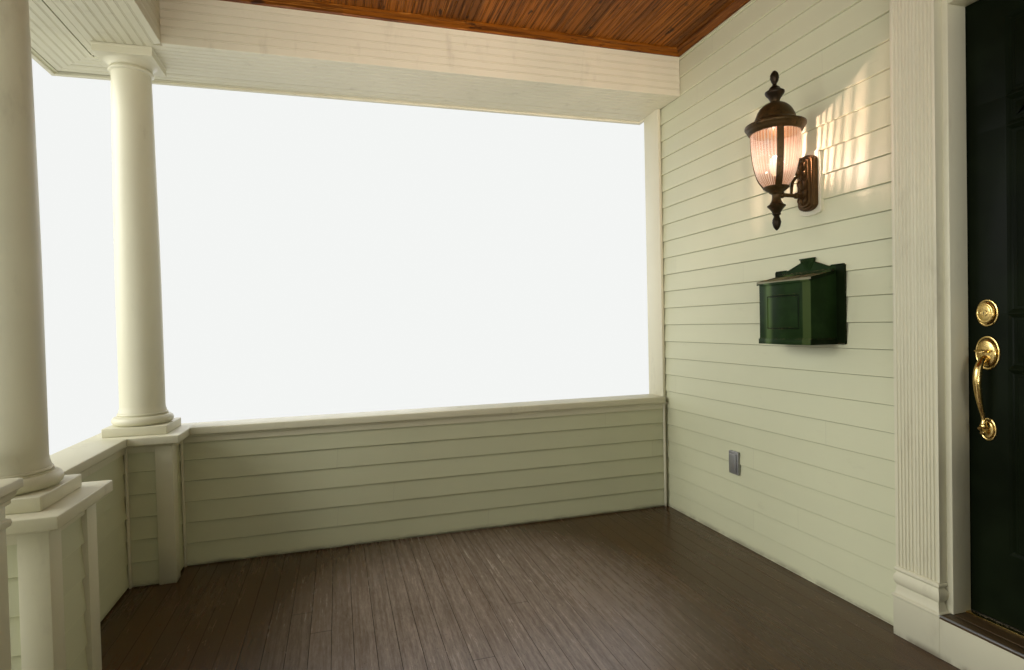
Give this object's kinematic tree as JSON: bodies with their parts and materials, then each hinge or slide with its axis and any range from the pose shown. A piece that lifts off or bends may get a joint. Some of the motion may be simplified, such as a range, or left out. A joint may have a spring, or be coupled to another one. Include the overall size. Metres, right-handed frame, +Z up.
{
  "type": "covered front porch with half walls and round columns",
  "caption": "Covered front porch with half walls, round columns, steps, a hipped roof and a panelled door that swings inward from a section of house wall.",
  "frame": {"origin": "at ground level, on the back plane of the house wall, on the centre line of the door", "axes": "+X to the right seen from the street, +Y into the house, +Z up"},
  "size_m": [5.16, 4.19, 4.4825],
  "materials": {
    "masonry": "rough cement render",
    "trim_paint": "painted wood, satin",
    "framing": "bare sawn timber",
    "wall_paint": "painted clapboard, satin",
    "floor_paint": "painted floor boards, worn",
    "stained_wood": "dark varnished beadboard",
    "oak_sill": "oiled oak",
    "shingle": "mineral roof shingle",
    "door_paint": "gloss paint, nearly black green",
    "brass": "polished, slightly tarnished",
    "bronze": "aged bronze finish",
    "lamp_glass": "ribbed clear glass",
    "mailbox_paint": "dark green powder coat"
  },
  "bodies": {
    "porch": {"foundation_front": "masonry", "foundation_ends": "masonry", "deck_rims": "trim_paint", "deck_joists": "framing", "deck_floor": "floor_paint", "step_treads": "floor_paint", "step_risers": "trim_paint", "step_stringers": "trim_paint", "house_base": "masonry", "house_wall_left": "wall_paint", "house_wall_right": "wall_paint", "house_wall_over_door": "wall_paint", "house_corner_boards": "trim_paint", "half_walls": "wall_paint", "piers": "trim_paint", "wall_caps": "trim_paint", "pier_caps": "trim_paint", "newel_posts": "trim_paint", "newel_caps": "trim_paint", "column_bases": "trim_paint", "column_shafts": "trim_paint", "column_capitals": "trim_paint", "front_beam": "trim_paint", "end_beams": "trim_paint", "ceiling": "stained_wood", "ceiling_trim": "stained_wood", "front_soffit": "trim_paint", "end_soffits": "trim_paint", "front_fascia": "trim_paint", "end_fascias": "trim_paint", "roof": "shingle", "door_jambs": "trim_paint", "door_head": "trim_paint", "door_sill": "oak_sill", "sill_riser": "trim_paint", "door_casings": "trim_paint", "casing_blocks": "trim_paint", "head_cornice": "trim_paint", "hinge_barrels": "brass", "lantern_bracket": "bronze", "lantern_body": "bronze", "lantern_glass": "lamp_glass", "lantern_roof": "bronze", "mailbox_body": "mailbox_paint"},
    "door": {"door_leaf": "door_paint", "hinge_leaves": "brass", "door_handle": "brass", "deadbolt": "brass"},
    "latch": {"thumb_latch": "brass"},
    "letter_lid": {"mailbox_lid": "mailbox_paint"}
  },
  "joints": [
    {"name": "door_swing", "type": "hinge", "parent": "porch", "child": "door", "pos_m": [0.4595, 0.008, 1.8], "axis": [0, 0, -1], "range_deg": [0, 95]},
    {"name": "latch_press", "type": "hinge", "parent": "door", "child": "latch", "pos_m": [-0.387, -0.07, 1.682], "axis": [1, 0, 0], "range_deg": [0, 15], "stiffness_Nm_per_rad": 0.02, "springref_deg": -17.19},
    {"name": "lid_lift", "type": "hinge", "parent": "porch", "child": "letter_lid", "pos_m": [-1.084, -0.154, 2.015], "axis": [-1, 0, 0], "range_deg": [0, 90]}
  ]
}
